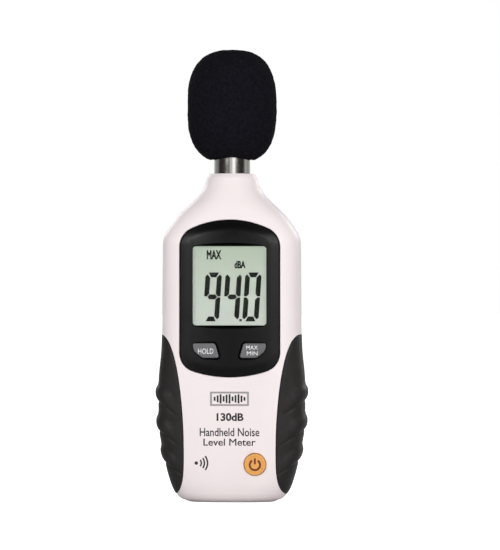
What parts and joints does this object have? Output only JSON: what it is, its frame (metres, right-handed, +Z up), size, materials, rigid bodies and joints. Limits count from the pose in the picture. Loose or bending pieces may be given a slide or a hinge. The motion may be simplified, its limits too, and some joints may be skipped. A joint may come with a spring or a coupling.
{
  "type": "sound level meter",
  "caption": "Handheld digital sound level meter with a foam-covered microphone on a steel neck, display, keys, rubber side grips and a hinged battery door.",
  "frame": {"origin": "centre of the base, on the surface the meter stands on", "axes": "+Z up along the microphone neck, -Y out of the display, +X to the right for someone facing the display"},
  "size_m": [0.0534, 0.0312, 0.1586],
  "materials": {
    "case_plastic": "satin",
    "bezel_plastic": "satin",
    "grip_rubber": "matte",
    "key_plastic": "satin",
    "amber_key_plastic": "satin",
    "clear_window": "gloss",
    "display_glass": "gloss",
    "holder_plastic": "matte",
    "strip_silicone": "matte",
    "board": "satin",
    "component_plastic": "matte",
    "trimmer_plastic": "satin",
    "component_can": "satin",
    "neck_steel": "polished",
    "fastener_steel": "satin",
    "boot_rubber": "matte",
    "foam": "matte",
    "cell": "gloss",
    "red_insulation": "satin",
    "black_insulation": "satin"
  },
  "bodies": {
    "case": {"front_shell": "case_plastic", "rear_shell": "case_plastic", "left_grip": "grip_rubber", "right_grip": "grip_rubber", "display_bezel": "bezel_plastic", "window_lens": "clear_window", "lcd_glass": "display_glass", "lcd_holder": "holder_plastic", "upper_contact_strip": "strip_silicone", "lower_contact_strip": "strip_silicone", "main_board": "board", "processor_chip": "component_plastic", "amplifier_chip": "component_plastic", "crystal": "component_can", "filter_capacitor": "component_can", "trimmer_body": "trimmer_plastic", "hold_switch": "component_plastic", "max_min_switch": "component_plastic", "power_switch": "component_plastic", "microphone_neck": "neck_steel", "microphone_grille": "neck_steel", "capsule_boot": "boot_rubber", "microphone_capsule": "component_can", "microphone_signal_wire": "red_insulation", "microphone_ground_wire": "black_insulation", "battery_1": "cell", "battery_2": "cell", "battery_3": "cell", "battery_spring_1": "fastener_steel", "battery_spring_2": "fastener_steel", "battery_spring_3": "fastener_steel", "contact_positive_terminal": "fastener_steel", "contact_negative_terminal": "fastener_steel", "contact_upper_link": "fastener_steel", "contact_lower_link": "fastener_steel", "battery_positive_lead": "red_insulation", "battery_negative_lead": "black_insulation", "case_screw_upper_left": "fastener_steel", "case_screw_upper_right": "fastener_steel", "case_screw_lower_left": "fastener_steel", "case_screw_lower_right": "fastener_steel", "board_screw_top": "fastener_steel", "board_screw_left": "fastener_steel", "board_screw_right": "fastener_steel", "board_screw_bottom": "fastener_steel"},
    "hold_key": {"hold_button": "key_plastic", "hold_switch_plunger": "key_plastic"},
    "max_min_key": {"max_min_button": "key_plastic", "max_min_switch_plunger": "key_plastic"},
    "power_key": {"power_button": "amber_key_plastic", "power_switch_plunger": "key_plastic"},
    "door": {"battery_door": "case_plastic"},
    "foam_windscreen": {"windscreen": "foam"},
    "calibration_trimmer": {"trimmer_rotor": "component_can"}
  },
  "joints": [
    {"name": "hold_press", "type": "slide", "parent": "case", "child": "hold_key", "axis": [0, 1, 0], "range_m": [0, 0.0006], "stiffness_N_per_m": 400, "springref_m": -0.0005},
    {"name": "max_min_press", "type": "slide", "parent": "case", "child": "max_min_key", "axis": [0, 1, 0], "range_m": [0, 0.0006], "stiffness_N_per_m": 400, "springref_m": -0.0005},
    {"name": "power_press", "type": "slide", "parent": "case", "child": "power_key", "axis": [0, 1, 0], "range_m": [0, 0.0006], "stiffness_N_per_m": 400, "springref_m": -0.0005},
    {"name": "door_swing", "type": "hinge", "parent": "case", "child": "door", "pos_m": [0, 0.01425, 0.00815], "axis": [-1, 0, 0], "range_deg": [0, 85]},
    {"name": "windscreen_lift", "type": "slide", "parent": "case", "child": "foam_windscreen", "axis": [0, 0, 1], "range_m": [0, 0.03]},
    {"name": "trimmer_turn", "type": "hinge", "parent": "case", "child": "calibration_trimmer", "pos_m": [0.00545, -0.0009, 0.035], "axis": [0, 1, 0], "range_deg": [-130, 130]}
  ]
}
